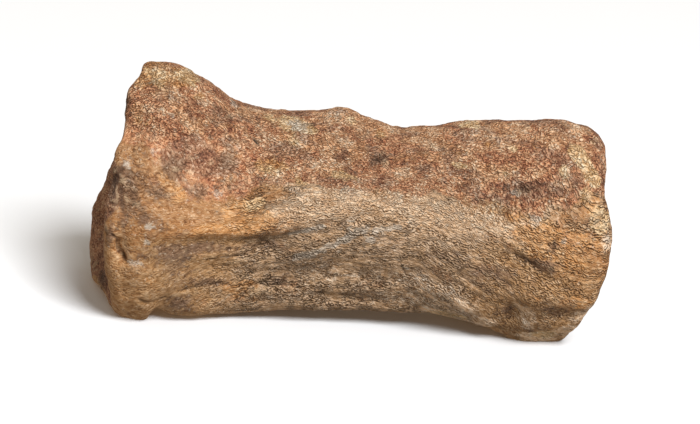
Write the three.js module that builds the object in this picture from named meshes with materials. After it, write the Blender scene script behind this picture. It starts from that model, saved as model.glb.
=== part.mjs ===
import * as THREE from "three";

// The fossil vertebra of a dinosaur's tail, resting on its underside. Millimetres, +Z up.
// -X is the front end with the tall worn arch, +X the hind end, and -Y the animal's left flank.
// The skin runs over lengthwise ridges. At each station along the bone a ridge has a distance from
// the midline and a height over the ground, and it starts and ends at its own X on either flank.

const stations = [0, 0.04, 0.09, 0.16, 0.24, 0.33, 0.43, 0.53, 0.63, 0.73, 0.83, 0.92, 1];
const columns = 84; // points round the bone
const bodyRows = 38;
const rimRows = 3;
const faceRings = [0.88, 0.74, 0.6, 0.45, 0.3, 0.15]; // shares of the way from the middle to the rim
const frontDish = 2.6; // how far each joint face is hollowed
const hindDish = 2.2;
const discHeight = 17; // the round joint face is the lower part of each end, under the arch
const discReach = [17, 16];
const wornTo = 0.5; // the feet of the keels are worn flat at this height
const crush = 0.15; // the bone was sheared in the ground, so its left flank stands higher
const crushHeight = 12;

const dorsalMid = {
  side: [0, 0, 0, 0, 0, 0, 0, 0, 0, 0, 0, 0, 0],
  height: [48.9, 49.1, 47.8, 44.8, 41.7, 41.3, 41.7, 40.9, 40.4, 41.8, 42.7, 43.4, 43],
  left: [-41.6, 43.5],
  right: [-41.6, 43.5],
  rim: [1.4, 4.5],
};
const archShoulder = {
  side: [6, 6.6, 7, 7, 6.8, 6.6, 6.5, 6.6, 7, 7.5, 8, 8.4, 8],
  height: [42.8, 43.8, 43.4, 41.4, 39.6, 39, 39, 38.5, 37.9, 38.8, 39.8, 40.6, 40],
  left: [-43.6, 44],
  right: [-41.4, 43.6],
  rim: [2.8, 4],
};
const upperHollow = {
  side: [11.5, 12.5, 13, 12.5, 11.7, 11.2, 11, 11, 11.3, 12.2, 13.2, 13.8, 13.2],
  height: [34.8, 36, 36, 34.6, 33.4, 33.2, 33.6, 33.4, 33, 33.2, 34, 34.4, 34],
  left: [-44.8, 43.7],
  right: [-39.6, 43.5],
  rim: [3, 3],
};
const ridgeTop = {
  side: [16, 17, 17.2, 16.6, 15.9, 15.3, 15, 15, 15.2, 15.8, 16.6, 17.4, 16.8],
  height: [25.5, 25.5, 25.3, 25.2, 25.4, 27.2, 28, 28, 27.4, 26.2, 25.8, 25.6, 25.5],
  left: [-45.6, 45.7],
  right: [-43.4, 44],
  rim: [3, 3],
};
const ridgeEdge = {
  side: [17.6, 18.6, 18.7, 18, 17.2, 16.7, 16.5, 16.5, 16.8, 17.4, 18.2, 19, 18.4],
  height: [18, 18, 18.4, 19, 19.6, 20.2, 20.6, 20.6, 20.2, 19.2, 18.4, 17.8, 17.6],
  left: [-46, 45.9],
  right: [-44.6, 44.5],
  rim: [3, 3],
};
const lowerFlank = {
  side: [16.4, 17.3, 17.1, 15.8, 14.8, 14, 13.7, 13.8, 14.2, 15, 16.2, 17.4, 16.6],
  height: [8.5, 8.2, 9, 10.6, 11.8, 12.6, 13, 13, 12.4, 11, 9.6, 8.4, 8.6],
  left: [-44.8, 44.6],
  right: [-45.9, 44],
  rim: [3, 3],
};
const keel = {
  side: [9.5, 9.8, 9.3, 8.7, 8.3, 8, 8, 8, 8.2, 8.4, 8.6, 8.8, 8.6],
  height: [0.4, -0.5, 0.6, 1.1, 1.8, 2.7, 3.5, 4, 4.2, 4.1, 2.6, -0.3, 0.5],
  left: [-42, 42.6],
  right: [-45.8, 43],
  rim: [3, 3],
};
const ventralMid = {
  side: [0, 0, 0, 0, 0, 0, 0, 0, 0, 0, 0, 0, 0],
  height: [1.2, 0.8, 1.8, 2.6, 3.8, 4.6, 5.1, 5.2, 5.2, 4.8, 3.6, 1.6, 2.8],
  left: [-45.2, 43.5],
  right: [-45.2, 43.5],
  rim: [3, 3],
};
const leftRidges = [archShoulder, upperHollow, ridgeTop, ridgeEdge, lowerFlank, keel];

// Worn lumps and hollows: middle, reach along each axis, and height over the skin around.
const relief = [
  { name: "crestBump", at: [-3.5, 0, 42], reach: [4, 7, 6], height: 0.8 },
  { name: "crestStep", at: [7, 0, 41], reach: [4, 8, 6], height: -0.5 },
  { name: "crestLump", at: [22, 0, 42], reach: [2.5, 6, 6], height: 0.4 },
  { name: "crestHind", at: [37.5, -2, 43.4], reach: [6, 6, 5], height: 0.5 },
  { name: "archDip", at: [-25, -1, 43.5], reach: [3, 5, 4], height: -0.6 },
  { name: "peakEdge", at: [-44.8, -5.5, 44.2], reach: [3, 4, 2], height: 0.8 },
  { name: "rimFarLobe", at: [-48.2, 14, 13], reach: [3, 4, 4], height: 0.7 },
  { name: "rimFarFoot", at: [-48.4, 10.5, 6], reach: [3, 3, 2], height: 0.4 },
  { name: "rimMiddleWorn", at: [-47.6, 1.2, 6.2], reach: [3, 3.4, 2.6], height: -0.8 },
  { name: "rimNearFoot", at: [-45.4, -7, 3.2], reach: [2.6, 4, 2.2], height: 0.7 },
  { name: "rimNearLobe", at: [-45, -13.4, 5], reach: [3, 4, 2.6], height: 0.5 },
  { name: "hindLobeWorn", at: [38.5, -12.8, 2], reach: [6, 3, 2.6], height: -0.9 },
  { name: "rimNotch", at: [-36.6, -8, 1], reach: [1.9, 6, 4], height: -3 },
  { name: "frontFoot", at: [-42, -8, 1], reach: [3, 5, 4], height: 0.5 },
  { name: "canalFront", at: [-46, 0, 36], reach: [5, 4.4, 3.4], height: -2.4 },
  { name: "canalHind", at: [47, 0, 35], reach: [5, 4.2, 3.2], height: -1.9 },
  { name: "archNotchLeft", at: [-46, -9.3, 38.2], reach: [3, 4, 2.8], height: -1.9 },
  { name: "archNotchRight", at: [-45.6, 8.5, 34.5], reach: [3, 5, 3], height: -1.3 },
  { name: "rimGroove", at: [-45.4, -17.6, 17.6], reach: [1.2, 4, 2.8], height: -0.8 },
  { name: "rimFlake", at: [-47.8, -16.8, 21.5], reach: [1.2, 4, 5], height: 0.45 },
  { name: "ridgeHollow", at: [-17.5, -16, 18.4], reach: [5, 5, 2.4], height: -0.7 },
  { name: "lobeValley", at: [-35.5, -13.5, 5.6], reach: [3, 4, 3], height: -0.7 },
  { name: "frontHollow", at: [-30, -16.6, 14.5], reach: [9, 5, 2.2], height: -0.5 },
  { name: "frontBoss", at: [-40.5, -17.6, 21], reach: [5, 5, 4.5], height: 0.5 },
  { name: "waistHollow", at: [-2, -13, 11.5], reach: [18, 6, 3], height: -0.5 },
  { name: "keelUndercut", at: [-1, -10.3, 7.3], reach: [7, 4, 1.2], height: -0.6 },
  { name: "keelLedge", at: [0, -9.4, 5], reach: [8, 4, 1.4], height: 0.35 },
  { name: "keelBulge", at: [-31, -11.6, 4.2], reach: [5.5, 5, 3], height: 0.6 },
  { name: "bandUpper", at: [17, -13.8, 11.4], reach: [4.5, 4, 2.6], height: 0.9 },
  { name: "bandMiddle", at: [22.8, -13.3, 8.6], reach: [4, 4, 2.6], height: 1.2 },
  { name: "bandLower", at: [28, -12, 5.2], reach: [3.4, 4, 2.6], height: 1 },
  { name: "lowerDent", at: [31.8, -15, 8.2], reach: [2.4, 4, 4.2], height: -1.3 },
  { name: "rimPit", at: [41, -16.5, 9.2], reach: [3.4, 4, 2], height: -1 },
  { name: "hindBoss", at: [38, -18.6, 16], reach: [6.5, 5, 3.6], height: 0.5 },
  { name: "creaseUpper", at: [25, -17, 25.4], reach: [3.4, 4, 1.6], height: -0.4 },
  { name: "creaseLower", at: [33, -18.2, 21.6], reach: [4.2, 4, 1.7], height: -0.55 },
  { name: "ridgeCrest", at: [0, -15.4, 29], reach: [24, 4, 2.2], height: 0.6 },
  { name: "ridgeGutter", at: [2, -12.4, 33.6], reach: [26, 3.4, 2.2], height: -0.5 },
  { name: "frontCrest", at: [-33, -17.4, 25], reach: [9, 4, 2.4], height: 0.4 },
  { name: "archPit", at: [1.7, -9.4, 36.9], reach: [2.2, 2.6, 1.5], height: -0.7 },
  { name: "archLedge", at: [-16.5, -11.8, 34.5], reach: [4.5, 3, 1.5], height: 0.4 },
  { name: "archHollow", at: [28, -13, 35.5], reach: [9, 5, 3], height: -0.5 },
  { name: "peakPit", at: [-36.5, -9, 42.5], reach: [3, 3, 2.2], height: -0.5 },
  { name: "rightHollow", at: [12, 16, 17], reach: [8, 5, 3], height: -0.9 },
  { name: "rightBoss", at: [-38, 18, 16], reach: [6, 5, 5], height: 0.5 },
  { name: "rightChip", at: [43, 17.5, 24], reach: [3.6, 4, 3], height: -1.2 },
  { name: "rightCrest", at: [4, 15.4, 25], reach: [26, 4, 2.2], height: 0.6 },
  { name: "rightGutter", at: [2, 12.4, 30], reach: [26, 3.4, 2.2], height: -0.5 },
  { name: "rightLedge", at: [-8, 15.6, 26.5], reach: [9, 4, 1.8], height: 0.5 },
  { name: "rightPit", at: [-21, 14, 10], reach: [2.6, 4, 2.2], height: -0.9 },
  { name: "rightArchPit", at: [14, 11, 33.5], reach: [3, 3, 2], height: -0.8 },
  { name: "rightArchDent", at: [-30, 11.5, 37], reach: [5, 4, 3], height: -0.6 },
  { name: "underPitFront", at: [-12, 2, 4.6], reach: [2, 1.7, 3], height: -0.9 },
  { name: "underPitHind", at: [14, -1.5, 5.2], reach: [2, 1.7, 3], height: -0.9 },
];

// Worn edges along each flank: at each x the edge lies at a height, the skin stands proud above it and is
// hollowed under it, most at 0.7 of the reach.
const edges = [
  {
    hand: -1,
    x: [-44, -36, -28, -20, -14, -8, 0, 8],
    z: [20, 20.4, 20.8, 21.2, 22.8, 24.8, 26, 26],
    height: [0, 0.5, 0.6, 0.75, 0.6, 0.3, 0.1, 0],
    reach: 2.2,
  },
  {
    hand: -1,
    x: [22, 28, 33, 38, 43],
    z: [24.5, 22.8, 20.8, 18.4, 16.6],
    height: [0, 0.4, 0.55, 0.5, 0],
    reach: 2.2,
  },
  {
    hand: 1,
    x: [-40, -28, -10, 6, 24, 40],
    z: [15, 16.5, 18, 18.4, 17, 15],
    height: [0, 0.5, 0.35, 0.5, 0.55, 0],
    reach: 2.4,
  },
];
const lumps = [
  { cell: [9, 6, 6], height: 0.7 },
  { cell: [4.2, 3.2, 3.2], height: 0.42 },
];

// A repeatable value in 0 to 1 for each corner of a lattice.
function corner(i, j, k) {
  let h = Math.imul(i, 374761393) + Math.imul(j, 668265263) + Math.imul(k, 1442695041);
  h = Math.imul(h ^ (h >>> 13), 1274126177);
  return ((h ^ (h >>> 16)) >>> 0) / 4294967296;
}

// Smooth noise over the lattice, from -0.5 to 0.5.
function noise(x, y, z) {
  const i = Math.floor(x);
  const j = Math.floor(y);
  const k = Math.floor(z);
  const ease = (t) => t * t * (3 - 2 * t);
  const mix = (a, b, t) => a + (b - a) * t;
  const u = ease(x - i);
  const v = ease(y - j);
  const w = ease(z - k);
  const low = mix(
    mix(corner(i, j, k), corner(i + 1, j, k), u),
    mix(corner(i, j + 1, k), corner(i + 1, j + 1, k), u),
    v,
  );
  const high = mix(
    mix(corner(i, j, k + 1), corner(i + 1, j, k + 1), u),
    mix(corner(i, j + 1, k + 1), corner(i + 1, j + 1, k + 1), u),
    v,
  );
  return mix(low, high, w) - 0.5;
}

// A smooth curve through the station values, by cubic pieces whose slopes follow the neighbours.
function along(values, share) {
  const last = stations.length - 1;
  const slope = (n) => {
    if (n === 0) return (values[1] - values[0]) / (stations[1] - stations[0]);
    if (n === last) return (values[n] - values[n - 1]) / (stations[n] - stations[n - 1]);
    const before = stations[n] - stations[n - 1];
    const after = stations[n + 1] - stations[n];
    const rise = (values[n + 1] - values[n]) / after;
    const fall = (values[n] - values[n - 1]) / before;
    return (rise * before + fall * after) / (before + after);
  };
  let n = 0;
  while (n < last - 1 && share >= stations[n + 1]) n += 1;
  const h = stations[n + 1] - stations[n];
  const t = (share - stations[n]) / h;
  const back = 1 - t;
  return (
    (1 + 2 * t) * back * back * values[n] +
    t * back * back * h * slope(n) +
    t * t * (3 - 2 * t) * values[n + 1] +
    t * t * (t - 1) * h * slope(n + 1)
  );
}

// The ridges in order round the bone, down the left flank and up the right one.
const ring = [
  { ridge: dorsalMid, hand: 0 },
  ...leftRidges.map((ridge) => ({ ridge, hand: -1 })),
  { ridge: ventralMid, hand: 0 },
  ...[...leftRidges].reverse().map((ridge) => ({ ridge, hand: 1 })),
];

function ridgePoint({ ridge, hand }, share) {
  const ends = hand > 0 ? ridge.right : ridge.left;
  const y = hand * along(ridge.side, share);
  const height = along(ridge.height, share);
  const sheared = height - crush * y * Math.min(Math.max(height / crushHeight, 0), 1);
  return [ends[0] + (ends[1] - ends[0]) * share, y, sheared];
}

// A smooth closed curve round the ridges.
function roundThe(values, turn) {
  const n = Math.floor(turn);
  const t = turn - n;
  const at = (d) => values[(n + d + values.length) % values.length];
  const a = at(-1);
  const b = at(0);
  const c = at(1);
  const d = at(2);
  return b.map(
    (_, m) =>
      0.5 *
      (2 * b[m] +
        (c[m] - a[m]) * t +
        (2 * a[m] - 5 * b[m] + 4 * c[m] - d[m]) * t * t +
        (3 * b[m] - a[m] - 3 * c[m] + d[m]) * t * t * t),
  );
}

const turns = Array.from({ length: columns }, (_, c) => (c / columns) * ring.length);
const body = [];
for (let r = 0; r < bodyRows; r += 1) {
  const share = r / (bodyRows - 1);
  const points = ring.map((entry) => ridgePoint(entry, share));
  body.push(turns.map((turn) => roundThe(points, turn)));
}

// An end: the rim is a quarter round, and the joint face inside it is dished.
function capRows(edge, end, dish) {
  const way = end === 0 ? -1 : 1;
  const radii = turns.map((turn) => roundThe(ring.map((e) => [e.ridge.rim[end]]), turn)[0]);
  const middle = [1, 2].map((m) => edge.reduce((sum, p) => sum + p[m], 0) / columns);
  const rows = [];
  for (let n = 1; n <= rimRows; n += 1) {
    const angle = (n / rimRows) * (Math.PI / 2);
    rows.push(
      edge.map((p, c) => {
        const span = Math.hypot(middle[0] - p[1], middle[1] - p[2]);
        const inward = (radii[c] * (1 - Math.cos(angle))) / span;
        return [
          p[0] + way * radii[c] * Math.sin(angle),
          p[1] + (middle[0] - p[1]) * inward,
          p[2] + (middle[1] - p[2]) * inward,
        ];
      }),
    );
  }
  const rim = rows[rows.length - 1];
  const centre = [0, 1, 2].map((m) => rim.reduce((sum, p) => sum + p[m], 0) / columns);
  const facePoint = (p, share) => {
    const y = centre[1] + (p[1] - centre[1]) * share;
    const z = centre[2] + (p[2] - centre[2]) * share;
    const far = (y / discReach[0]) ** 2 + ((z - discHeight) / discReach[1]) ** 2;
    const hollow = dish * Math.max(1 - far, 0) * (1 - share ** 6);
    return [centre[0] + (p[0] - centre[0]) * share ** 2.5 - way * hollow, y, z];
  };
  for (const share of faceRings) rows.push(rim.map((p) => facePoint(p, share)));
  return { rows, tip: facePoint(rim[0], 0) };
}

const frontEnd = capRows(body[0], 0, frontDish);
const hindEnd = capRows(body[bodyRows - 1], 1, hindDish);
const rows = [...frontEnd.rows.reverse(), ...body, ...hindEnd.rows];

// The outward direction at a point of the grid, from its neighbours.
function outward(r, c) {
  const a = rows[Math.max(r - 1, 0)][c];
  const b = rows[Math.min(r + 1, rows.length - 1)][c];
  const p = rows[r][(c + columns - 1) % columns];
  const q = rows[r][(c + 1) % columns];
  const lengthwise = new THREE.Vector3(b[0] - a[0], b[1] - a[1], b[2] - a[2]);
  const crosswise = new THREE.Vector3(q[0] - p[0], q[1] - p[1], q[2] - p[2]);
  return crosswise.cross(lengthwise).normalize();
}

// The value at x on the straight stretches between the listed ones.
function between(x, places, values) {
  if (x <= places[0]) return values[0];
  for (let n = 1; n < places.length; n += 1) {
    if (x > places[n]) continue;
    const t = (x - places[n - 1]) / (places[n] - places[n - 1]);
    return values[n - 1] + (values[n] - values[n - 1]) * t;
  }
  return values[values.length - 1];
}

function rise(p) {
  let sum = 0;
  for (const edge of edges) {
    if (p[1] * edge.hand < 4) continue;
    const s = (p[2] - between(p[0], edge.x, edge.z)) / edge.reach;
    sum += between(p[0], edge.x, edge.height) * Math.SQRT2 * s * Math.exp(0.5 - s * s);
  }
  for (const { at, reach, height } of relief) {
    const far = at.reduce((total, value, m) => total + ((p[m] - value) / reach[m]) ** 2, 0);
    sum += height * Math.exp(-far);
  }
  for (const { cell, height } of lumps) {
    sum += height * noise(p[0] / cell[0] + 40, p[1] / cell[1] + 40, p[2] / cell[2] + 40);
  }
  return sum;
}

function shaped(p, normal) {
  const out = rise(p);
  return [p[0] + normal.x * out, p[1] + normal.y * out, Math.max(p[2] + normal.z * out, wornTo)];
}

const positions = [];
rows.forEach((row, r) => row.forEach((p, c) => positions.push(...shaped(p, outward(r, c)))));
positions.push(...shaped(frontEnd.tip, new THREE.Vector3(-1, 0, 0)));
positions.push(...shaped(hindEnd.tip, new THREE.Vector3(1, 0, 0)));

const faces = [];
for (let r = 0; r < rows.length - 1; r += 1) {
  for (let c = 0; c < columns; c += 1) {
    const a = r * columns + c;
    const b = r * columns + ((c + 1) % columns);
    faces.push(a, b + columns, a + columns, a, b, b + columns);
  }
}
const frontTip = rows.length * columns;
const hindRow = (rows.length - 1) * columns;
for (let c = 0; c < columns; c += 1) {
  const next = (c + 1) % columns;
  faces.push(frontTip, next, c);
  faces.push(frontTip + 1, hindRow + c, hindRow + next);
}

const geometry = new THREE.BufferGeometry();
geometry.setAttribute("position", new THREE.Float32BufferAttribute(positions, 3));
geometry.setIndex(faces);
geometry.computeBoundingBox();
const box = geometry.boundingBox;
geometry.translate(-(box.min.x + box.max.x) / 2, -(box.min.y + box.max.y) / 2, -box.min.z);
geometry.computeVertexNormals();

const vertebra = new THREE.Mesh(
  geometry,
  new THREE.MeshStandardMaterial({ name: "fossil_bone", color: 0x9a6f4c, roughness: 0.9 }),
);
vertebra.name = "vertebra";

const part = new THREE.Group();
part.name = "fossil_vertebra";
part.add(vertebra);

export default part;
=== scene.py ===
import math

import bpy
import numpy as np
from mathutils import Matrix, Vector


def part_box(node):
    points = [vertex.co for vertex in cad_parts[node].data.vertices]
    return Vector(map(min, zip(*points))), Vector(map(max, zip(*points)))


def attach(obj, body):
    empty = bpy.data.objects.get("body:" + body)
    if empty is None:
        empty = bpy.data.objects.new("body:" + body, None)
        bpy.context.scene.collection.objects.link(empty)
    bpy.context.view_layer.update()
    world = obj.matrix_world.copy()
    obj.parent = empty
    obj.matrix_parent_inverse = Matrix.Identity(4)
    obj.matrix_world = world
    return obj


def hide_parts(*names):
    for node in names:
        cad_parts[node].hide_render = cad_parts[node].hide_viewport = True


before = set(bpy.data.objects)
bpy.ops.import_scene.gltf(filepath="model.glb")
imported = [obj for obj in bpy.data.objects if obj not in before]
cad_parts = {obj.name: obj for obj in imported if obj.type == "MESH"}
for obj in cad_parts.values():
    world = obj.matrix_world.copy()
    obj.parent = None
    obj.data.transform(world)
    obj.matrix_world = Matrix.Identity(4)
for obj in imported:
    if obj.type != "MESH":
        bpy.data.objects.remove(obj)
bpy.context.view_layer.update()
print("frame loaded")

mm = 0.001

# The bone. Its skin runs over lengthwise ridges, as the solid does: at each station a ridge has a
# distance from the midline and a height, and it starts and ends at its own x on either flank. Millimetres.
bone = {
    "columns": 366, "bodyRows": 198, "rimRows": 12, "faceRings": 22,
    "stations": [0, 0.04, 0.09, 0.16, 0.24, 0.33, 0.43, 0.53, 0.63, 0.73, 0.83, 0.92, 1],
    "crush": 0.15,  # the bone was sheared in the ground, so its left flank stands higher
    "crushHeight": 12,
    "dish": [2.6, 2.2], "discHeight": 17, "discReach": [17, 16],
    "wornTo": 0.5,
    "ridges": {
        "dorsalMid": {
            "side": [0] * 13,
            "height": [48.9, 49.1, 47.8, 44.8, 41.7, 41.3, 41.7, 40.9, 40.4, 41.8, 42.7, 43.4, 43],
            "left": [-41.6, 43.5], "right": [-41.6, 43.5], "rim": [1.4, 4.5],
        },
        "archShoulder": {
            "side": [6, 6.6, 7, 7, 6.8, 6.6, 6.5, 6.6, 7, 7.5, 8, 8.4, 8],
            "height": [42.8, 43.8, 43.4, 41.4, 39.6, 39, 39, 38.5, 37.9, 38.8, 39.8, 40.6, 40],
            "left": [-43.6, 44], "right": [-41.4, 43.6], "rim": [2.8, 4],
        },
        "upperHollow": {
            "side": [11.5, 12.5, 13, 12.5, 11.7, 11.2, 11, 11, 11.3, 12.2, 13.2, 13.8, 13.2],
            "height": [34.8, 36, 36, 34.6, 33.4, 33.2, 33.6, 33.4, 33, 33.2, 34, 34.4, 34],
            "left": [-44.8, 43.7], "right": [-39.6, 43.5], "rim": [3, 3],
        },
        "ridgeTop": {
            "side": [16, 17, 17.2, 16.6, 15.9, 15.3, 15, 15, 15.2, 15.8, 16.6, 17.4, 16.8],
            "height": [25.5, 25.5, 25.3, 25.2, 25.4, 27.2, 28, 28, 27.4, 26.2, 25.8, 25.6, 25.5],
            "left": [-45.6, 45.7], "right": [-43.4, 44], "rim": [3, 3],
        },
        "ridgeEdge": {
            "side": [17.6, 18.6, 18.7, 18, 17.2, 16.7, 16.5, 16.5, 16.8, 17.4, 18.2, 19, 18.4],
            "height": [18, 18, 18.4, 19, 19.6, 20.2, 20.6, 20.6, 20.2, 19.2, 18.4, 17.8, 17.6],
            "left": [-46, 45.9], "right": [-44.6, 44.5], "rim": [3, 3],
        },
        "lowerFlank": {
            "side": [16.4, 17.3, 17.1, 15.8, 14.8, 14, 13.7, 13.8, 14.2, 15, 16.2, 17.4, 16.6],
            "height": [8.5, 8.2, 9, 10.6, 11.8, 12.6, 13, 13, 12.4, 11, 9.6, 8.4, 8.6],
            "left": [-44.8, 44.6], "right": [-45.9, 44], "rim": [3, 3],
        },
        "keel": {
            "side": [9.5, 9.8, 9.3, 8.7, 8.3, 8, 8, 8, 8.2, 8.4, 8.6, 8.8, 8.6],
            "height": [0.4, -0.5, 0.6, 1.1, 1.8, 2.7, 3.5, 4, 4.2, 4.1, 2.6, -0.3, 0.5],
            "left": [-42, 42.6], "right": [-45.8, 43], "rim": [3, 3],
        },
        "ventralMid": {
            "side": [0] * 13,
            "height": [1.2, 0.8, 1.8, 2.6, 3.8, 4.6, 5.1, 5.2, 5.2, 4.8, 3.6, 1.6, 2.8],
            "left": [-45.2, 43.5], "right": [-45.2, 43.5], "rim": [3, 3],
        },
    },
    # worn lumps and hollows: middle, reach along each axis, and height over the skin around
    "relief": [
        ((-3.5, 0, 42), (4, 7, 6), 0.8), ((7, 0, 41), (4, 8, 6), -0.5),
        ((22, 0, 42), (2.5, 6, 6), 0.4), ((37.5, -2, 43.4), (6, 6, 5), 0.5),
        ((-25, -1, 43.5), (3, 5, 4), -0.6), ((-44.8, -5.5, 44.2), (3, 4, 2), 0.8),
        ((-48.2, 14, 13), (3, 4, 4), 0.7), ((-48.4, 10.5, 6), (3, 3, 2), 0.4),
        ((-47.6, 1.2, 6.2), (3, 3.4, 2.6), -0.8), ((-45.4, -7, 3.2), (2.6, 4, 2.2), 0.7),
        ((-45, -13.4, 5), (3, 4, 2.6), 0.5), ((38.5, -12.8, 2), (6, 3, 2.6), -0.9),
        ((-36.6, -8, 1), (1.9, 6, 4), -3), ((-42, -8, 1), (3, 5, 4), 0.5),
        ((-46, 0, 36), (5, 4.4, 3.4), -2.4), ((47, 0, 35), (5, 4.2, 3.2), -1.9),
        ((-46, -9.3, 38.2), (3, 4, 2.8), -1.9), ((-45.6, 8.5, 34.5), (3, 5, 3), -1.3),
        ((-45.4, -17.6, 17.6), (1.2, 4, 2.8), -0.8), ((-47.8, -16.8, 21.5), (1.2, 4, 5), 0.45),
        ((-17.5, -16, 18.4), (5, 5, 2.4), -0.7), ((-35.5, -13.5, 5.6), (3, 4, 3), -0.7),
        ((-30, -16.6, 14.5), (9, 5, 2.2), -0.5), ((-40.5, -17.6, 21), (5, 5, 4.5), 0.5),
        ((-2, -13, 11.5), (18, 6, 3), -0.5), ((-1, -10.3, 7.3), (7, 4, 1.2), -0.6),
        ((0, -9.4, 5), (8, 4, 1.4), 0.35), ((-31, -11.6, 4.2), (5.5, 5, 3), 0.6),
        ((17, -13.8, 11.4), (4.5, 4, 2.6), 0.9), ((22.8, -13.3, 8.6), (4, 4, 2.6), 1.2),
        ((28, -12, 5.2), (3.4, 4, 2.6), 1), ((31.8, -15, 8.2), (2.4, 4, 4.2), -1.3),
        ((41, -16.5, 9.2), (3.4, 4, 2), -1), ((38, -18.6, 16), (6.5, 5, 3.6), 0.5),
        ((25, -17, 25.4), (3.4, 4, 1.6), -0.4), ((33, -18.2, 21.6), (4.2, 4, 1.7), -0.55),
        ((0, -15.4, 29), (24, 4, 2.2), 0.6), ((2, -12.4, 33.6), (26, 3.4, 2.2), -0.5),
        ((-33, -17.4, 25), (9, 4, 2.4), 0.4), ((1.7, -9.4, 36.9), (2.2, 2.6, 1.5), -0.7),
        ((-16.5, -11.8, 34.5), (4.5, 3, 1.5), 0.4), ((28, -13, 35.5), (9, 5, 3), -0.5),
        ((-36.5, -9, 42.5), (3, 3, 2.2), -0.5), ((12, 16, 17), (8, 5, 3), -0.9),
        ((-38, 18, 16), (6, 5, 5), 0.5), ((43, 17.5, 24), (3.6, 4, 3), -1.2),
        ((4, 15.4, 25), (26, 4, 2.2), 0.6), ((2, 12.4, 30), (26, 3.4, 2.2), -0.5),
        ((-8, 15.6, 26.5), (9, 4, 1.8), 0.5), ((-21, 14, 10), (2.6, 4, 2.2), -0.9),
        ((14, 11, 33.5), (3, 3, 2), -0.8), ((-30, 11.5, 37), (5, 4, 3), -0.6),
        ((-12, 2, 4.6), (2, 1.7, 3), -0.9), ((14, -1.5, 5.2), (2, 1.7, 3), -0.9),
    ],
    # worn edges: at each x the edge has a height, and the skin stands proud above it and is hollow below
    "edges": [
        {
            "hand": -1, "reach": 2.2,
            "x": [-44, -36, -28, -20, -14, -8, 0, 8],
            "z": [20, 20.4, 20.8, 21.2, 22.8, 24.8, 26, 26],
            "height": [0, 0.5, 0.6, 0.75, 0.6, 0.3, 0.1, 0],
        },
        {
            "hand": -1, "reach": 2.2,
            "x": [22, 28, 33, 38, 43],
            "z": [24.5, 22.8, 20.8, 18.4, 16.6],
            "height": [0, 0.4, 0.55, 0.5, 0],
        },
        {
            "hand": 1, "reach": 2.4,
            "x": [-40, -28, -10, 6, 24, 40],
            "z": [15, 16.5, 18, 18.4, 17, 15],
            "height": [0, 0.5, 0.35, 0.5, 0.55, 0],
        },
    ],
    "lumps": [((9, 6, 6), 0.7), ((4.2, 3.2, 3.2), 0.42)],
}

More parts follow.
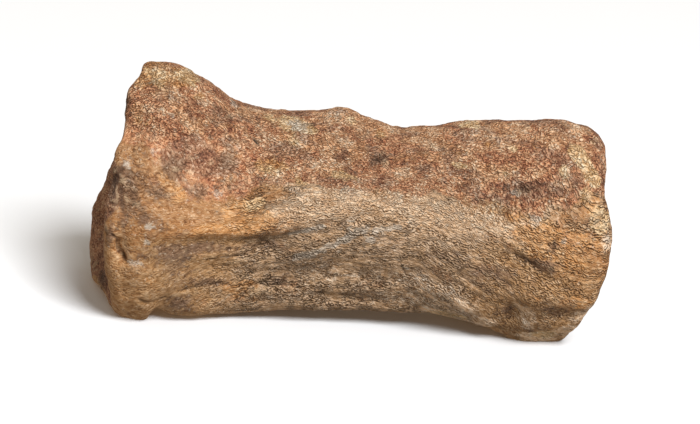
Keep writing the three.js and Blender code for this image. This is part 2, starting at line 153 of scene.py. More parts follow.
# Fine relief of the weathered surface, in millimetres: cell size and height of each layer.
weathering = {
    # towards each end the fibres fan out: which way, from how far, over what reach, by what slope per mm, and
    # between which ridges the fan opens and closes
    "fans": [
        {"way": -1, "start": 14, "reach": 30, "perMm": 0.009, "opens": (1.8, 5.4), "closes": (5.8, 7)},
        {"way": 1, "start": 12, "reach": 32, "perMm": 0.018, "opens": (0, 4.4), "closes": (5.6, 7)},
    ],
    "straightRadius": 19.5, "wander": (2.4, 2, 2),
    # the fibres of the bone wall run lengthwise
    "cells": {"grain": (3.4, 1.15, 1.15), "wrinkle": (8, 2.4, 2.4), "crumb": 1.5, "scab": 4, "grit": 0.9},
    "heights": {"grain": 0.13, "wrinkle": 0.19, "crumb": 0.34, "scab": 0.4, "grit": 0.16},
    "hollowDepth": 0.16,
    "cracks": [  # points along each crack, its width and depth
        ([(-21.5, -9.2, 38.3), (-18.5, -11.2, 35.2), (-15.6, -12.2, 33.8), (-11, -12.9, 32.8)], 0.35, 0.8),
        ([(0.4, -9.6, 37.2), (2.2, -9.9, 36.4), (4.2, -9.8, 36.8)], 0.45, 0.9),
        ([(28.4, -14, 34.6), (30.4, -14.4, 34), (32.6, -14.6, 34.2)], 0.4, 0.7),
        ([(3.6, -15, 30.2), (4.9, -15.2, 29.7), (6.6, -14.8, 30.5)], 0.22, 0.5),
        ([(4.9, -15.2, 29.7), (5.3, -16, 27.4), (5.9, -16.4, 25.8)], 0.2, 0.45),
        ([(-47.3, -13.9, 30.6), (-46.7, -15.4, 28.6), (-46, -16.3, 26.6), (-45.8, -16.7, 24.6)], 0.7, 0.6),
        ([(-45.8, -16.7, 24.6), (-46.3, -17, 22.8), (-46.9, -17.1, 20.8)], 0.4, 0.6),
        ([(-47.2, -17.5, 19.9), (-46.3, -17, 18.4), (-45.5, -17, 16.8), (-44.5, -17.2, 15.2)], 0.7, 1.2),
        ([(-48.3, -12.8, 30), (-47.9, -14.4, 28.8), (-47.7, -15.2, 27.2)], 1, 0.5),
        ([(-48.5, -15.7, 25.6), (-47.3, -16.4, 25.8)], 0.3, 0.4),
        ([(-48.6, -16.6, 19.7), (-47, -17.3, 20)], 0.35, 0.6),
        ([(-7, -11, 8.3), (-1, -10.3, 7.4), (4.5, -10, 6.6)], 0.5, 0.7),
        ([(-32.8, -14.8, 8.6), (-28.9, -14.1, 10.1), (-22.8, -12.8, 9.5), (-16.6, -11.9, 10.3)], 0.3, 0.5),
        ([(-16.6, -11.9, 10.3), (-12.5, -11.7, 9.9), (-9.8, -11.4, 9.6)], 0.3, 0.4),
        ([(-29.9, -15.2, 12.9), (-27.8, -15, 14), (-24.6, -14.7, 14.8)], 0.28, 0.5),
        ([(-28.9, -15.9, 15.9), (-25.6, -15.9, 16.6), (-21.9, -15.3, 16.8)], 0.25, 0.45),
        ([(-26.2, -16.6, 18.2), (-22.6, -15.8, 18.8), (-20.8, -15.1, 19)], 0.25, 0.4),
        ([(-22.3, -14.6, 15.4), (-21.2, -14.3, 14.2), (-19.7, -13.3, 12.6)], 0.3, 0.4),
        ([(-21.8, -10.9, 5.8), (-20, -12, 8.7), (-17.5, -12, 10.2)], 0.3, 0.4),
        ([(-40.9, -15.8, 6.6), (-39, -15.1, 5.7), (-35.7, -14.6, 6.9)], 0.4, 0.5),
        ([(8.4, -15.3, 17.7), (9.7, -14.3, 15.4), (9.6, -13.9, 14.3)], 0.2, 0.4),
        ([(1, -15.8, 19.1), (2.5, -16.2, 20.3), (2.9, -16.4, 21.2)], 0.22, 0.35),
        ([(29.6, -17.4, 22), (31.5, -17.6, 20.9)], 0.3, 0.35),
        ([(32.9, -17.8, 20.5), (35.2, -18.3, 19.3)], 0.35, 0.5),
        ([(35.7, -18.3, 19.4), (38.7, -18.7, 17.5)], 0.4, 0.55),
        ([(36.2, -18.1, 24.7), (37.6, -18.4, 23.3)], 0.35, 0.5),
        ([(20, -13.6, 7.4), (26, -12.6, 4.6), (31, -11, 2.4)], 0.5, 0.4),
        ([(-24, 16.6, 16), (-12, 15.6, 13.6), (2, 14.6, 12.4)], 0.5, 0.5),
        ([(18, 15.4, 25), (26, 16.4, 21.5), (30, 17.4, 15.6)], 0.3, 0.6),
        ([(26, 16.4, 21.5), (34, 17.4, 20.4)], 0.25, 0.45),
        ([(-34, 13, 35), (-26, 12, 34), (-17, 11, 33)], 0.35, 0.5),
    ],
}

# Where each colour lies: by x in millimetres, by ridges down from the arch, and in patches, each with its
# middle, its reach in millimetres and its strength.
colouring = {
    "zoneEdge": (0.2, 0.75),  # a zone begins to show at the first value, and is whole at the second
    "frontOchre": {"x": (-18, -6), "starts": (1.8, 3), "ends": (3.8, 4.4)},
    "rimOchre": {"x": (-43, -34), "starts": (0.8, 2), "thins": (4, 5), "strength": 0.75},
    "hindOchre": {"x": (28, 43), "ridge": 3.3, "reach": 1.4, "strength": 0.8},
    "clay": {"x": (12, 34), "starts": (3, 4)},
    "crest": {
        "x": [-50, -30, -14, -4, 4, 13, 22, 50],
        "ridge": [3.4, 3.4, 3.35, 3.1, 3.1, 3.1, 3.05, 3.1],
        "starts": (-22, -12), "ends": (24, 36),
    },
    "redEdge": {  # how far down from the arch the red crust reaches, counted in ridges, by x
        "x": [-50, -43, -38, -33, -27, -21, -17, -13, -9, -4, 1, 3.5]
        + [6.3, 9, 13, 15, 19, 22, 25, 29, 34, 38, 42, 50],
        "ridge": [1.7, 2, 2.5, 2.85, 2.9, 2.65, 2.7, 2.6, 2.75, 2.87, 2.87, 3.05]
        + [3.25, 2.85, 2.65, 2.6, 2.75, 3.08, 3.18, 3.05, 2.8, 2.6, 2.3, 2.2],
    },
    "cream": [
        ((40.4, -9.8, 40.9), (1.8, 2.4, 1.6), 1.1), ((41.8, -10.9, 39.4), (1.6, 2, 1.5), 1.1),
        ((43.4, -12.5, 37.3), (1.6, 2, 1.5), 1.1), ((44.9, -13.3, 35.9), (1, 2, 1.1), 0.9),
        ((38, -13, 37.6), (1.5, 2, 1.5), 0.85), ((28.5, -9.6, 40), (1.4, 2, 0.7), 0.7),
        ((18.3, -10.7, 36.5), (2.2, 2, 0.6), 0.8), ((27, -12, 36), (1.1, 2, 0.7), 0.7),
        ((-2.8, -4, 41.6), (2, 3, 0.9), 0.6), ((-19.4, -4.2, 41.2), (1.6, 3, 0.7), 0.6),
        ((-14.6, -5.2, 40.7), (3, 3, 1.2), 1), ((-20.6, -16.2, 28), (2.6, 3, 1.4), 0.7),
        ((-35, -2, 47.8), (3, 3, 0.9), 0.6), ((-13, -14, 32), (3.4, 2.4, 1.2), 0.6),
        ((-10.6, -6.4, 40), (1.6, 3, 0.8), 0.6), ((-41, -2.8, 47.8), (2.6, 3, 1.8), 0.75),
        ((45.6, -6, 42.4), (2, 4, 1.4), 0.5), ((45.8, -16.4, 29.4), (2.8, 3, 3), 1),
        ((-19, -12.2, 33.2), (3, 3, 1.4), 0.6), ((39, -4, 43.6), (3, 4, 1.4), 0.4),
        ((3, -5, 39.6), (3, 3, 1.2), 0.4), ((-14, -8.4, 38.2), (3, 3, 1.8), 0.5),
        ((-4, -12.2, 33.2), (4, 3, 1.2), 0.6), ((-40, -5, 45.6), (2.4, 3, 1.4), 0.5),
        ((42, -15, 34), (2, 3, 1.6), 0.6), ((20, -2, 42.2), (3, 4, 1), 1),
        # the first patch on this line lightens the shaded ledge under the ridge: painted light
        ((-22, -16.4, 26.6), (2.6, 3, 1.2), 0.3), ((-34, -2.4, 47), (2.6, 3, 1.2), 0.6),
        ((20, -10, 5), (5, 4, 1.6), 0.8), ((39.6, -12.4, 3), (4, 4, 1.6), 0.9),
        ((22, 10.6, 38), (3, 3, 1.4), 0.8), ((30, 13, 34), (2, 3, 1.6), 0.6),
    ],
    "amber": [
        ((-41.2, -3.4, 47.2), (2.6, 3, 2), 0.9), ((-20, -11, 6), (4, 3, 1.6), 0.5),
        ((-36.4, -4, 46.7), (3, 2, 0.8), 0.8), ((-43.4, -4, 45.8), (1.6, 2.4, 1.6), 0.8),
        ((-41, -1, 48.6), (3, 3, 1.6), 0.7), ((-35, -1.6, 47.6), (4, 3, 1.2), 0.9),
        ((-32.4, -5.8, 44.6), (2.4, 2, 0.7), 0.7), ((-43.6, -9.6, 40), (1.6, 3, 1.6), 0.6),
        ((41, -18.6, 26), (5, 4, 2.4), 0.55), ((47.6, -16.4, 26), (2.4, 4, 3), 0.4),
        ((27, -16, 29.6), (3, 3, 1.6), 0.7), ((24, -15.4, 30.8), (3, 3, 1.2), 0.5),
        ((36, -19, 22.6), (2, 3, 1.2), 0.5), ((31, -17.6, 26), (3, 3, 2), 0.6),
        ((43, -17.6, 12.4), (4, 4, 2.4), 0.9), ((34.6, -19, 21.8), (2.6, 3, 1), 0.6),
        # the amber patches on the ridge's lower edge between x -24 and -19 lighten its shaded ledge: painted
        # light as well as amber stain
        ((-21, -16.6, 22.4), (3, 3, 1.2), 0.9), ((-36, -17, 29), (1.8, 2.4, 1.6), 0.9),
        ((-40.4, -18.2, 25.4), (2.4, 3, 1.8), 0.2), ((-22, -16.4, 27), (3, 3, 1.6), 0.6),
        ((-31.6, -18.6, 22.6), (4, 3, 0.9), 0.4), ((-38, -16, 31.6), (1.8, 2.4, 1.6), 0.8),
        ((-45.4, -16.8, 26), (1.6, 2.4, 1.6), 0.9), ((-23.6, -16.8, 25.8), (4.4, 3, 1.8), 0.7),
        ((-19.6, -16.6, 25), (3.4, 3, 1.5), 0.7), ((-27, -17.8, 23), (4, 3, 1.2), 0.9),
        ((34, -18.6, 24), (4, 3, 2.4), 0.7), ((40, -18, 25), (3, 3, 2), 0.5),
        ((-21, -13, 9.6), (4, 3, 2), 0.5), ((-46.9, -16.8, 16), (1.4, 3, 3), 0.5),
        ((-18.5, -12, 34.4), (4, 2.4, 1.4), 0.9), ((-39.6, -17, 11.6), (2.4, 3, 1.6), 0.6),
        ((-23, -13, 9), (4, 3, 1.8), 0.6), ((-6, -13, 33), (3, 2.4, 1), 0.4),
        ((3, -5, 40), (2, 3, 1), 0.6), ((17, -9, 38.4), (3, 2.4, 1), 0.5),
        ((24, -8.6, 40.6), (3, 3, 0.9), 0.6), ((42, -19, 21), (3, 3, 1.6), 0.8),
        ((33.6, -17.4, 28), (3, 3, 1.8), 0.8), ((37.4, -18.9, 23.6), (2.4, 3, 1.8), 0.7),
        ((44, -16, 32), (3, 3, 2.4), 0.6), ((35.6, -19, 13.6), (1.8, 3, 1.2), 0.6),
        ((45, -13, 4), (2.4, 4, 1.8), 0.8), ((22, -14, 11), (4, 3, 2), 0.5),
        ((-30, 15, 30), (5, 3, 2.6), 0.7), ((8, 15, 28), (6, 3, 2), 0.6),
        ((36, 17, 12), (4, 3, 3), 0.6),
    ],
    "tan": [
        ((27.4, -4, 42), (4, 5, 1.8), 1), ((-40, -4, 46.6), (3, 3, 2), 0.9),
        ((-44, -8, 41.6), (2, 3, 2), 0.8), ((-16, -10, 36), (3, 3, 1.4), 0.6),
        ((8, -1, 40), (4, 4, 1.4), 0.8), ((-31, -14, 33), (2.4, 3, 1.6), 0.5),
        ((14, -7, 39), (3, 3, 1.4), 0.8), ((-26, -10, 38), (4, 3, 2.4), 0.4),
        ((39, -4, 43.6), (3, 4, 1.6), 0.8), ((-14, -9, 37.6), (3, 3, 1.8), 0.8),
        ((-22, -4, 42), (5, 4, 2), 0.8), ((11, -2, 40.4), (4, 4, 1.4), 0.8),
        ((-25.6, -12.6, 35.6), (2.4, 3, 2), 0.6), ((-19, -12.2, 33.4), (4, 3, 1.6), 1),
        ((-8, -12, 34.6), (4, 3, 1.2), 0.6), ((8, -10, 37), (3, 3, 1.2), 0.5),
        ((22, -11, 36.4), (3, 3, 1.4), 0.7), ((18, -9, 38), (3, 3, 1.4), 0.8),
        ((24, -8, 40), (3, 3, 1.4), 0.7), ((36, -8, 42), (3, 3, 1.6), 0.7),
        ((20, -2, 42.4), (3, 4, 1.4), 1.1), ((-3, -8.4, 38.6), (7, 4, 2.2), 0.5),
        ((-4, -10, 37), (4, 3, 2), 0.7), ((-14, -8, 39), (3, 3, 1.4), 0.7),
        ((-4, -12, 33), (4, 3, 1.4), 0.7), ((2, -4, 40.6), (4, 4, 1.4), 1),
        ((-14, -7, 38.8), (3, 3, 1.2), 0.7),
    ],
    "plum": [
        # the first patch, on the lamp-facing slope of the front shoulder, is painted shade as well as plum
        # crust
        ((-35.4, -14, 35.6), (4.4, 3, 3), 1), ((-40.6, -16, 31), (2, 3, 1.6), 0.5),
        ((-28.6, -13.2, 34), (5, 3, 2.6), 0.95), ((-33.4, -12.4, 37), (2.6, 3, 2), 1),
        ((-33, -16, 30), (3, 3, 1.2), 0.6), ((-21, -7.4, 39), (3, 3, 1.4), 0.5),
        ((2, -10, 36.2), (3.4, 3, 1.6), 0.7), ((24.2, -15, 31), (4, 3, 1.8), 1.3),
        ((14, -12, 33.8), (4, 3, 1), 0.5), ((4, -12.4, 33), (4, 3, 0.9), 0.4),
        ((31, -14, 34), (4, 3, 1.8), 0.9), ((12, -10.6, 35.4), (3, 3, 1), 0.6),
        ((40, -12.6, 35.6), (2, 3, 1.6), 0.6), ((35.6, -14.6, 34), (3, 3, 1.6), 0.8),
    ],
    "dusted": [
        ((20, -11, 5.4), (7, 4, 2), 0.6), ((-1, -16.8, 25.6), (4, 3, 1.8), 0.6),
        ((-6, -13.6, 15), (4, 3, 1.6), 0.3), ((8, -10.6, 8), (4, 3, 1.6), 0.5),
        ((16, -14.2, 12), (4, 4, 2), 0.8), ((21.6, -13.4, 9.4), (4, 4, 2.6), 0.68),
        ((20.6, -10.8, 5.2), (5, 4, 2), 1), ((27, -12, 4.8), (3, 4, 2), 0.6),
        ((14, -12.4, 9), (3, 4, 1.6), 0.8), ((5, -10.4, 8.6), (4, 4, 1), 0.6),
        ((-4, -13.4, 13), (12, 4, 2.4), 0.45), ((9, -13.4, 14), (10, 4, 2.2), 0.5),
        ((34, -16, 10), (1.6, 4, 1.4), 0.6), ((46, -15, 9), (1.6, 4, 1.8), 0.7),
        ((32, -14, 11), (1.6, 4, 1.6), 0.4), ((43.6, -13, 5), (2.4, 4, 1.8), 1),
        ((38.6, -11.4, 2), (5, 4, 2), 1.1), ((35, -15.6, 7), (2, 4, 3), 0.9),
        ((46.8, -15.6, 30.4), (2.2, 3, 3), 0.5), ((47.6, -16.6, 25.6), (1.6, 3, 2.6), 0.8),
        ((32, -17, 28), (3, 3, 1.4), 0.6), ((-14, -15, 31), (3, 3, 1.6), 0.6),
        ((45.4, -6, 42), (2, 4, 1.8), 0.6), ((46.4, -16, 10), (1.8, 4, 2.6), 0.8),
        ((-16, 15, 14), (6, 4, 2), 0.6),
    ],
    # dark stains, and painted shade in recesses: under the ridge's lower edge, in the grooves and hollows of
    # the left end, and on the lamp-facing slope of the front shoulder
    "dark": [
        ((2, -10, 36.2), (2.4, 2.6, 1.3), 0.7), ((30.3, -14.4, 34), (2.2, 2.4, 1.2), 0.75),
        ((27, -13.8, 33.4), (1.6, 2.4, 1), 0.4), ((-31, -14.5, 33), (7, 4, 4.5), 0.16),
        ((-38, -15.6, 29.6), (4, 4, 2), 0.25), ((-46.4, -13.8, 31.2), (1.2, 2, 2.2), 0.5),
        ((-46.2, -15.2, 30), (1.7, 2.4, 2), 1), ((-34, -13, 37), (3, 3, 2), 0.35),
        ((-42, -18.6, 17), (2.4, 3, 2), 0.35), ((-33, -16, 12), (4, 4, 3), 0.5),
        ((-14, -13, 12), (5, 4, 3), 0.25), ((-15.4, -15, 19), (3, 3, 1.6), 0.3),
        ((-47, -15.4, 28.8), (1.4, 2.4, 2.4), 1), ((-26, -15.2, 30.6), (3.4, 3, 1.8), 0.5),
        ((-38.4, -18.8, 23), (2.6, 3, 1.6), 0.5), ((-40, -18, 24.6), (2.4, 3, 2), 0.3),
        ((-32, -12, 3.4), (4, 4, 2), 0.5), ((-46.3, -5, 41.6), (0.9, 2.4, 2.6), 0.8),
        ((-40, -17, 28.8), (2, 2.4, 1.4), 0.6), ((-45.2, -17, 23), (1.4, 2.4, 2.4), 0.7),
        ((-44.6, -12, 36.6), (2, 3, 2.4), 0.5), ((-48, -16, 27), (1, 2.4, 2), 0.8),
        ((-28, -14, 10.4), (3, 3, 1.2), 0.5), ((-27, -13, 34.6), (2.4, 2.4, 2), 0.6),
        ((-43, -18.2, 26), (1.8, 3, 1.6), 0.5), ((-42, -19, 23.6), (1.8, 3, 1.4), 0.5),
        ((-35, -18, 16.8), (4.6, 3, 1.6), 0.7), ((-42, -5, 46), (1.3, 2.4, 0.9), 0.5),
        ((-32, -16, 29.2), (2.2, 3, 1.8), 0.7), ((-26, -12, 38), (4, 3, 2.4), 0.4),
        ((-44.2, -16.8, 27.8), (1.2, 2, 2), 0.7), ((-46, -16, 27.2), (1.2, 2.4, 2.6), 0.9),
        ((-47.8, -17, 20), (1, 2.4, 2.6), 0.9), ((-33, -14, 6), (3, 3, 1.6), 0.8),
        ((-43, -15.4, 31.8), (2.6, 3, 3), 0.5), ((-37, -15.4, 32), (2.4, 2.4, 1.4), 0.6),
        ((-36.8, -14.4, 34), (2.6, 2.4, 1.6), 0.7), ((23.6, -17, 17.4), (3.6, 4, 1.8), 0.6),
        ((28.6, -17.4, 18), (3.6, 3, 2), 0.5), ((36, -18.6, 23.6), (2.4, 3, 1.4), 0.4),
        ((37, -19.4, 20.4), (2.4, 3, 1.4), 0.45), ((-27, -17, 26), (3, 3, 1.4), 0.3),
        ((6, -16.2, 22), (4, 3, 1.6), 0.33), ((18, -16.8, 20), (6, 3, 1.8), 0.33),
        ((-12.6, -12.4, 10.6), (4, 3, 2), 0.4), ((14, -16.8, 20), (3, 3, 1.6), 0.3),
        ((24, -15, 31), (3, 3, 1.4), 0.3), ((-42, -18, 13.6), (3, 3, 2), 0.3),
        ((31, -17.6, 15), (3, 3, 2), 0.3), ((-24, -13.4, 9), (6, 4, 3), 0.3),
        ((-3, -9.4, 5), (5, 4, 1.2), 0.35), ((23, -17, 24.8), (3.4, 3, 1.6), 0.45),
        ((29.4, -14, 8.4), (2.4, 4, 2), 0.4), ((-47.6, -13.6, 29.4), (1.2, 2.4, 2.4), 1),
        ((-23, -15.4, 17.8), (4, 3, 2), 0.5), ((-17.6, -15, 19.6), (4, 3, 1.4), 0.4),
        ((-29.6, -17, 18.8), (4, 3, 1.3), 0.8), ((-36.6, -18.2, 18.6), (3.8, 3, 1.2), 0.6),
        ((35.6, -19, 19.8), (2, 3, 1.5), 0.7), ((37, -19, 24.4), (1, 2, 1), 0.7),
        ((31.6, -15, 8), (1.6, 4, 3.4), 0.5), ((41, -16.5, 9.2), (3.4, 4, 1.8), 0.6),
        ((33, -18.2, 21.2), (3, 4, 1.2), 0.6), ((38, -18, 11), (1.6, 3, 1.2), 0.6),
        ((3.4, -9, 7), (2, 3, 0.7), 0.6), ((-47.4, -2, 4), (2, 5, 3), 0.7),
        ((14, 11, 33.5), (3, 3, 2), 0.7), ((-21, 14, 10), (2.6, 4, 2.2), 0.7),
        ((-30, 11.5, 37), (5, 4, 3), 0.4),
    ],
    "chalk": [
        ((-13, -5.8, 40.3), (2.8, 3, 1), 0.8), ((-25.4, -3, 43), (2.2, 3, 0.9), 0.7),
        ((-45.6, -13.8, 32.6), (1, 2.4, 1.8), 0.4), ((-41, -14, 36), (2.4, 3, 2), 0.5),
        ((14, -11, 7), (6, 4, 2), 0.4), ((-7, -14, 15), (4, 3, 1.6), 0.4),
        ((-45.4, -13.4, 33.9), (1.6, 2.4, 1.3), 0.3), ((-44.6, -14.9, 30.6), (1, 2.4, 1.4), 0.35),
        ((-40.6, -19.2, 22.8), (1.7, 2, 0.8), 0.65), ((-42.8, -18.1, 15), (2.2, 2, 0.9), 0.75),
        ((-40.8, -19, 19.6), (0.9, 2, 0.8), 0.7), ((-37.6, -10.4, 41.8), (1.4, 2, 1.2), 0.5),
        ((-28, -16, 29), (1.8, 2, 1.2), 0.5), ((-10.6, -15.6, 17.5), (2.4, 2, 0.8), 0.7),
        ((-9, -15.8, 22.6), (6, 3, 2), 0.32), ((-1, -16.4, 24), (4, 3, 1.6), 0.32),
        ((-17, -16, 23.4), (3, 3, 1.4), 0.3), ((2, -16.8, 22.2), (1.6, 2, 0.9), 0.8),
        ((9.9, -14.8, 16.3), (0.8, 2, 0.6), 0.8), ((29, -15, 33), (1.6, 2, 0.9), 0.7),
        ((33, -17, 29.2), (1.5, 2, 0.6), 0.9), ((38.6, -17.6, 25.4), (0.9, 2, 0.8), 0.6),
        ((41, -19, 25), (1.4, 2, 1.2), 0.5), ((35, -15.9, 32.2), (2.4, 2, 0.6), 0.5),
        ((-27, 15.6, 12), (2.6, 3, 1.2), 0.7), ((6, 16.4, 22), (3, 3, 1.2), 0.7),
    ],
    "scratches": [  # points along each pale scrape, and its width
        ([(-11.8, -14.8, 17.1), (-5.6, -15.9, 20.4), (0.6, -16.5, 24.6)], 1.2),
        ([(2.4, -16.5, 24.1), (6.9, -16.5, 25.2)], 0.9),
        ([(-14, -15.8, 22.4), (-8, -16.2, 24.4)], 0.9),
        ([(10, 16.2, 18), (18, 16.6, 20.4)], 0.8),
    ],
}


def latticeValue(i, j, k):
    # A repeatable value in 0 to 1 for each corner of a lattice: the three whole numbers are multiplied by
    # large odd numbers, added, and stirred twice, in 32 bits.
    h = i.astype(np.uint32) * np.uint32(374761393) + j.astype(np.uint32) * np.uint32(668265263)
    h = h + k.astype(np.uint32) * np.uint32(1442695041)
    h = (h ^ (h >> np.uint32(13))) * np.uint32(1274126177)
    return (h ^ (h >> np.uint32(16))).astype(np.float64) / 4294967296


def valueNoise(points):
    # Smooth noise from -0.5 to 0.5: the eight lattice values round each point, mixed by eased shares.
    whole = np.floor(points).astype(np.int64)
    share = points - whole
    ease = share * share * (3 - 2 * share)
    total = np.zeros(points.shape[:-1])
    for corner in np.ndindex(2, 2, 2):
        value = latticeValue(*np.moveaxis(whole + corner, -1, 0))
        total += value * np.where(corner, ease, 1 - ease).prod(-1)
    return total - 0.5


def fractalNoise(points, layers, seed):
    # Noise over noise: each layer has half the height and a little under half the cell of the one before,
    # turned a little so that the lattices don't line up. About -0.5 to 0.5.
    turn = np.array([[0.8, 0.6, 0], [-0.48, 0.64, 0.6], [0.36, -0.48, 0.8]])
    finer, apart, stronger = 2.13, 17.3, 1.4
    total = np.zeros(points.shape[:-1])
    height = 1
    for n in range(layers):
        total += height * valueNoise(points + seed + apart * n)
        points = (points @ turn) * finer
        height *= 0.5
    return total / (2 - 2 ** (1 - layers)) * stronger


def smoothStep(low, high, value):
    # 3t^2 - 2t^3, where t runs evenly from 0 at the low value to 1 at the high one.
    t = np.clip((value - low) / (high - low), 0, 1)
    return t * t * (3 - 2 * t)


def band(begins, ends, value):
    # Rises from 0 to 1 over the first range and falls back to 0 over the second.
    return smoothStep(*begins, value) * (1 - smoothStep(*ends, value))


def stationCurve(values, share):
    # The curve through the station values: a cubic on each stretch. At inner stations its slope is the mean
    # of the two sides, (rise * length before + fall * length after) / both lengths, as gradient gives it.
    stations = np.array(bone["stations"], float)
    values = np.array(values, float)
    slopes = np.gradient(values, stations)
    n = np.clip(np.searchsorted(stations, share, side="right") - 1, 0, len(stations) - 2)
    span = stations[n + 1] - stations[n]
    t = (share - stations[n]) / span
    back = 1 - t
    first = (1 + 2 * t) * back * back * values[n] + t * back * back * span * slopes[n]
    return first + t * t * (3 - 2 * t) * values[n + 1] + t * t * (t - 1) * span * slopes[n + 1]


def roundCurve(values, turns):
    # A closed Catmull-Rom curve: half of a cubic in t whose four terms come from four values in a row.
    n = np.floor(turns).astype(int)
    t = (turns - n).reshape((-1,) + (1,) * (values.ndim - 1))
    a, b, c, d = (values[(n + shift) % len(values)] for shift in (-1, 0, 1, 2))
    return 0.5 * (2 * b + (c - a) * t + (2 * a - 5 * b + 4 * c - d) * t**2 + (3 * b - a - 3 * c + d) * t**3)


def gridNormals(grid):
    # The outward direction: the step round the bone crossed with the step along it.
    around = np.roll(grid, -1, 1) - np.roll(grid, 1, 1)
    along = np.gradient(grid, axis=0)
    out = np.cross(around, along)
    return out / np.maximum(np.linalg.norm(out, axis=-1, keepdims=True), 1e-9)


def ringOrder():
    # Once round the bone: the arch, down the left flank, the underside, and up the right flank.
    names = list(bone["ridges"])
    left = [(name, -1) for name in names[1:-1]]
    right = [(name, 1) for name in reversed(names[1:-1])]
    return [(names[0], 0)] + left + [(names[-1], 0)] + right


def boneSkin():
    # P(share, turn): x is start + (end - start) * share, y the ridge's distance from the midline, z its
    # height less crush * y, and a closed curve runs round the fourteen ridges at each share.
    share = np.linspace(0, 1, bone["bodyRows"])
    ridgeLines = []
    for name, hand in ringOrder():
        ridge = bone["ridges"][name]
        start, end = ridge["right"] if hand > 0 else ridge["left"]
        y = hand * stationCurve(ridge["side"], share)
        height = stationCurve(ridge["height"], share)
        z = height - bone["crush"] * y * np.clip(height / bone["crushHeight"], 0, 1)
        ridgeLines.append(np.stack([start + (end - start) * share, y, z], -1))
    turns = np.arange(bone["columns"]) / bone["columns"] * len(ridgeLines)
    body = roundCurve(np.array(ridgeLines), turns).transpose(1, 0, 2)
    front, hind = capRows(body[0], 0, turns), capRows(body[-1], 1, turns)
    return np.concatenate([front[::-1], body, hind]), turns, len(front)


def capRows(edge, end, turns):
    # The rim is a quarter round of the ridge's own radius. Inside it the face runs to the middle, with x
    # eased by share^2.5 and the round joint face hollowed by dish * (1 - r^2), fading out at the rim.
    way = 1 if end else -1
    radii = np.array([[bone["ridges"][name]["rim"][end]] for name, _ in ringOrder()], float)
    radius = roundCurve(radii, turns)
    inward = (edge.mean(0) - edge) * [0, 1, 1]
    inward /= np.linalg.norm(inward, axis=1, keepdims=True)
    angles = np.linspace(0, math.pi / 2, bone["rimRows"] + 1)[1:]
    outward = np.array([way, 0, 0])
    rows = [edge + radius * ((1 - math.cos(f)) * inward + math.sin(f) * outward) for f in angles]
    rim = rows[-1]
    centre = rim.mean(0)
    for part in np.linspace(1, 0, bone["faceRings"] + 1)[1:]:
        row = centre + (rim - centre) * [part**2.5, part, part]
        far = (((row[:, 1:] - [0, bone["discHeight"]]) / bone["discReach"]) ** 2).sum(1)
        row[:, 0] -= way * bone["dish"][end] * np.maximum(1 - far, 0) * (1 - part**6)
        rows.append(row)
    return np.array(rows)


def bumpSum(points, patches):
    # Each patch adds its height * e^(-d^2), with d the distance from its middle counted in reaches.
    total = np.zeros(points.shape[:-1])
    for at, reach, height in patches:
        total += height * np.exp(-(((points - at) / reach) ** 2).sum(-1))
    return total


def edgeRise(points):
    # With s the height over the edge in reaches, the skin rises by height * 1.41 s * e^(0.5 - s^2).
    total = np.zeros(points.shape[:-1])
    for edge in bone["edges"]:
        s = (points[..., 2] - np.interp(points[..., 0], edge["x"], edge["z"])) / edge["reach"]
        height = np.interp(points[..., 0], edge["x"], edge["height"]) * (points[..., 1] * edge["hand"] > 4)
        total += height * math.sqrt(2) * s * np.exp(0.5 - s * s)
    return total


def lineDistance(points, line):
    # The shortest distance from each point to a chain of straight stretches.
    nearest = np.full(points.shape[:-1], 1e9)
    line = np.array(line, float)
    for a, b in zip(line, line[1:]):
        along = np.clip(((points - a) @ (b - a)) / ((b - a) @ (b - a)), 0, 1)
        nearest = np.minimum(nearest, np.linalg.norm(points - (a + along[..., None] * (b - a)), axis=-1))
    return nearest


def softened(field, passes):
    # Each pass takes the mean of three neighbours round the bone, and then along it.
    for _ in range(passes):
        field = (np.roll(field, 1, 1) + field + np.roll(field, -1, 1)) / 3
        padded = np.concatenate([field[:1], field, field[-1:]])
        field = (padded[:-2] + padded[1:-1] + padded[2:]) / 3
    return field


grid, turns, capLength = boneSkin()
rise = bumpSum(grid, bone["relief"]) + edgeRise(grid)
for cell, height in bone["lumps"]:
    rise += height * valueNoise(grid / cell + 40)
grid = grid + gridNormals(grid) * rise[..., None]

# Places on the skin: x, the ridge number down from the arch, and a straightened point for the fibres.
ridgeCount = len(ringOrder())
rowNumber = np.arange(len(grid))[:, None]
down = np.minimum(turns, ridgeCount - turns) + 0 * rowNumber
inFront = capLength - rowNumber
behind = capLength - rowNumber[::-1]
# the dark face begins four fifths of the way round the rim, and near the front shoulder at a quarter of it
shoulder = band((20, 25), (31, 34), grid[..., 2]) * (inFront > 0)
faceDepth = np.maximum(inFront, behind) - bone["rimRows"] * (0.8 - 0.55 * shoulder)
jointFace = smoothStep(0, 3, faceDepth + 3 * fractalNoise(grid / 2.5, 2, 13))
x = grid[..., 0]
# The slope of the fibres grows evenly towards both ends.
slope = np.zeros_like(down)
for fan in weathering["fans"]:
    beyond = np.clip(fan["way"] * x - fan["start"], 0, fan["reach"])
    slope += fan["perMm"] * beyond * band(fan["opens"], fan["closes"], down)
hand = np.where(turns < ridgeCount / 2, -1, 1)
angle = turns / ridgeCount * 2 * math.pi + hand * slope
straightRadius = weathering["straightRadius"]
fibre = np.stack([x, straightRadius * np.cos(angle), straightRadius * np.sin(angle)], -1)
# on the joint faces the skin's own place takes over, turned to meet the fibres at the rim
onFace = np.stack([x, grid[..., 2] - 20, -grid[..., 1]], -1)
fibre += jointFace[..., None] * (onFace - fibre)
warp = np.stack([fractalNoise(grid / 5, 2, seed) for seed in (3.1, 7.7, 11.9)], -1)
wander = fibre + warp * weathering["wander"]

